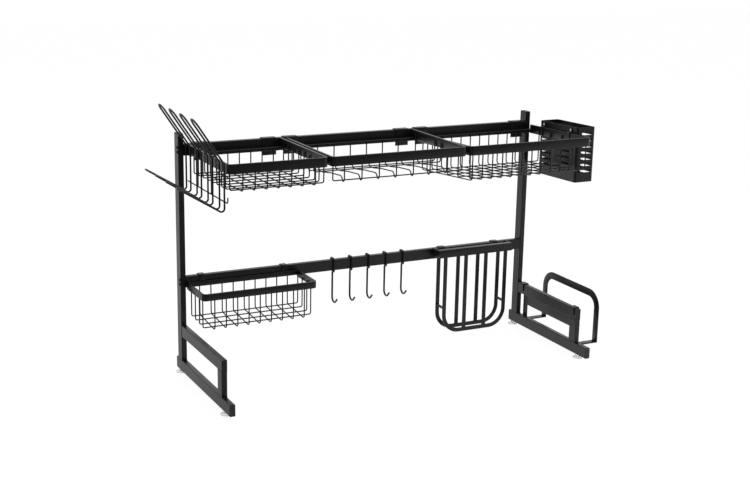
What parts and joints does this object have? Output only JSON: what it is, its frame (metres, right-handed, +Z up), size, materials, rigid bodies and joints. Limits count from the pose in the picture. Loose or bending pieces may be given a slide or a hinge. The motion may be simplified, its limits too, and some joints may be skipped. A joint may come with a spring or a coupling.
{
  "type": "over sink dish rack",
  "caption": "Two-legged steel dish rack that stands over a sink, with hanging wire baskets, plate loops, a slotted utensil box, S-hooks, a cutting board holder and a lid holder.",
  "frame": {"origin": "centre of the footprint, on the plane that the feet stand on", "axes": "+X along the rails to the viewer's right, +Y away from the viewer, +Z up"},
  "size_m": [1.0016, 0.3224, 0.5956],
  "materials": {
    "black_steel": "satin black powder coat",
    "black_wire": "satin black powder coat",
    "black_plastic": "matte black",
    "bolt_steel": "black oxide",
    "rivet_steel": "bare steel",
    "clear_rubber": "clear, smooth"
  },
  "bodies": {
    "frame": {"Left_Base_Rail": "black_steel", "Left_Post": "black_steel", "Left_Side_Bar": "black_steel", "Left_Front_Upright": "black_steel", "Left_Post_Cap": "black_plastic", "Left_Front_Plug": "black_plastic", "Left_Rear_Plug": "black_plastic", "Left_Front_Foot": "clear_rubber", "Left_Rear_Foot": "clear_rubber", "Left_Top_Bolt_Lower": "bolt_steel", "Left_Top_Bolt_Upper": "bolt_steel", "Left_Mid_Bolt_Lower": "bolt_steel", "Left_Mid_Bolt_Upper": "bolt_steel", "Right_Base_Rail": "black_steel", "Right_Post": "black_steel", "Right_Side_Bar": "black_steel", "Right_Front_Upright": "black_steel", "Right_Post_Cap": "black_plastic", "Right_Front_Plug": "black_plastic", "Right_Rear_Plug": "black_plastic", "Right_Front_Foot": "clear_rubber", "Right_Rear_Foot": "clear_rubber", "Right_Top_Bolt_Lower": "bolt_steel", "Right_Top_Bolt_Upper": "bolt_steel", "Right_Mid_Bolt_Lower": "bolt_steel", "Right_Mid_Bolt_Upper": "bolt_steel", "Top_Rail": "black_steel", "Mid_Rail": "black_steel"},
    "left_basket": {"Left_Basket_Rim": "black_steel", "Left_Basket_Cage": "black_wire"},
    "middle_basket": {"Middle_Basket_Rim": "black_steel", "Middle_Basket_Cage": "black_wire"},
    "right_basket": {"Right_Basket_Rim": "black_steel", "Right_Basket_Cage": "black_wire"},
    "lower_basket": {"Lower_Basket_Rim": "black_steel", "Lower_Basket_Cage": "black_wire"},
    "plate_rack": {"Plate_Rack_Loop_1": "black_wire", "Plate_Rack_Loop_2": "black_wire", "Plate_Rack_Loop_3": "black_wire", "Plate_Rack_Loop_4": "black_wire", "Plate_Rack_Support": "black_steel"},
    "utensil_box": {"Utensil_Box": "black_steel", "Utensil_Box_Hook_Rear": "black_steel", "Utensil_Box_Hook_Front": "black_steel", "Utensil_Box_Rivet_Rear": "rivet_steel", "Utensil_Box_Rivet_Front": "rivet_steel"},
    "s_hook_1": {"S_Hook_1": "black_wire"},
    "s_hook_2": {"S_Hook_2": "black_wire"},
    "s_hook_3": {"S_Hook_3": "black_wire"},
    "s_hook_4": {"S_Hook_4": "black_wire"},
    "s_hook_5": {"S_Hook_5": "black_wire"},
    "board_holder": {"Board_Holder_Top_Frame": "black_steel", "Board_Holder_Rear_Loop": "black_steel", "Board_Holder_Front_Loop": "black_steel", "Board_Holder_Spacer_Left": "black_steel", "Board_Holder_Spacer_Right": "black_steel"},
    "lid_holder": {"Lid_Holder_Loop": "black_steel", "Lid_Holder_Hook_Rear": "black_steel", "Lid_Holder_Hook_Front": "black_steel", "Lid_Holder_Crossbar": "black_steel"}
  },
  "joints": [
    {"name": "left_basket_lift", "type": "slide", "parent": "frame", "child": "left_basket", "axis": [0, 0, 1], "range_m": [0, 0.03]},
    {"name": "middle_basket_lift", "type": "slide", "parent": "frame", "child": "middle_basket", "axis": [0, 0, 1], "range_m": [0, 0.03]},
    {"name": "right_basket_lift", "type": "slide", "parent": "frame", "child": "right_basket", "axis": [0, 0, 1], "range_m": [0, 0.03]},
    {"name": "lower_basket_lift", "type": "slide", "parent": "frame", "child": "lower_basket", "axis": [0, 0, 1], "range_m": [0, 0.03]},
    {"name": "plate_rack_lift", "type": "slide", "parent": "left_basket", "child": "plate_rack", "axis": [0, 0, 1], "range_m": [0, 0.012]},
    {"name": "utensil_box_lift", "type": "slide", "parent": "right_basket", "child": "utensil_box", "axis": [0, 0, 1], "range_m": [0, 0.03]},
    {"name": "board_holder_lift", "type": "slide", "parent": "frame", "child": "board_holder", "axis": [0, 0, 1], "range_m": [0, 0.03]},
    {"name": "lid_holder_lift", "type": "slide", "parent": "frame", "child": "lid_holder", "axis": [0, 0, 1], "range_m": [0, 0.03]},
    {"name": "s_hook_1_slide", "type": "slide", "parent": "frame", "child": "s_hook_1", "axis": [1, 0, 0], "range_m": [-0.018, 0.018]},
    {"name": "s_hook_2_slide", "type": "slide", "parent": "frame", "child": "s_hook_2", "axis": [1, 0, 0], "range_m": [-0.018, 0.018]},
    {"name": "s_hook_3_slide", "type": "slide", "parent": "frame", "child": "s_hook_3", "axis": [1, 0, 0], "range_m": [-0.018, 0.018]},
    {"name": "s_hook_4_slide", "type": "slide", "parent": "frame", "child": "s_hook_4", "axis": [1, 0, 0], "range_m": [-0.018, 0.018]},
    {"name": "s_hook_5_slide", "type": "slide", "parent": "frame", "child": "s_hook_5", "axis": [1, 0, 0], "range_m": [-0.018, 0.018]}
  ]
}
